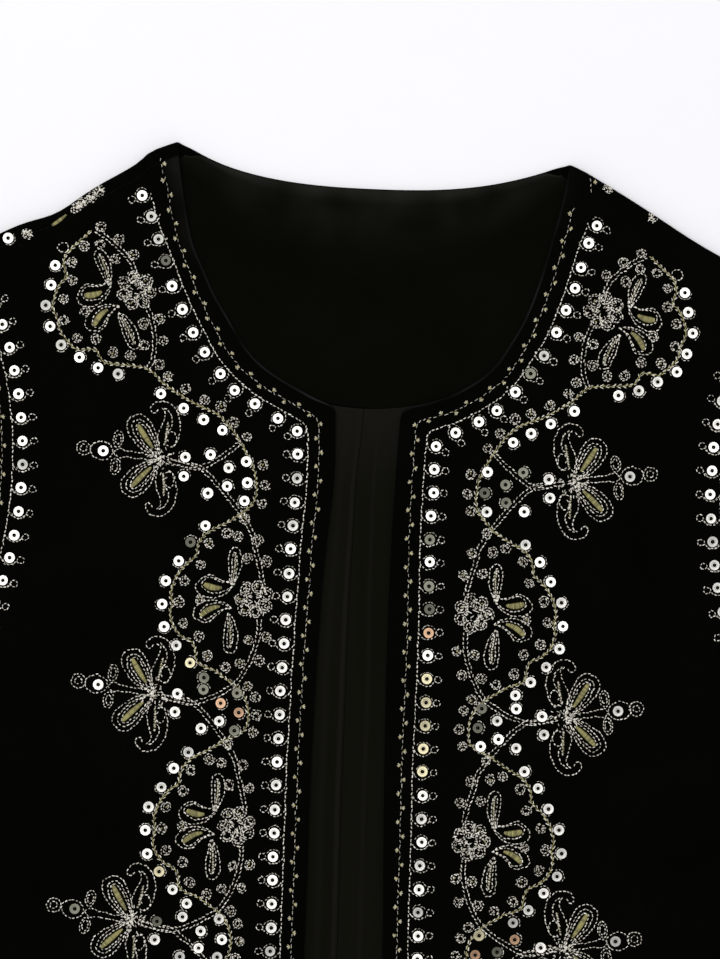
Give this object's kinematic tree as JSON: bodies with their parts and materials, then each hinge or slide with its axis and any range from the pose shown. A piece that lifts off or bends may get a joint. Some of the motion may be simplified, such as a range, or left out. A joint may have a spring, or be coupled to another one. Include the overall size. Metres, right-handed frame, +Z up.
{
  "type": "embroidered vest",
  "caption": "Sleeveless, collarless velvet vest laid flat, open down the front, with chain-stitch, satin-stitch and sequin flower embroidery.",
  "frame": {"origin": "on the surface that the vest lies on, under the middle of its bounding box", "axes": "+Z up from the surface, through the back to the fronts; +Y from the hem to the neck; +X to the right of a viewer who looks down on the fronts"},
  "size_m": [0.476, 0.51, 0.0069],
  "materials": {
    "velvet": "black cotton velvet, short dense pile",
    "facing_velvet": "black velvet, brushed soft",
    "lining": "dark satin lining",
    "metal_thread": "pale gold metallic embroidery thread",
    "silk_thread": "olive gold satin-stitch thread",
    "sequin": "silvery cupped sequins"
  },
  "bodies": {
    "root": {"back": "velvet", "back_facing": "facing_velvet", "lining_left": "lining", "lining_right": "lining", "front_left": "velvet", "front_right": "velvet"}
  },
  "joints": []
}
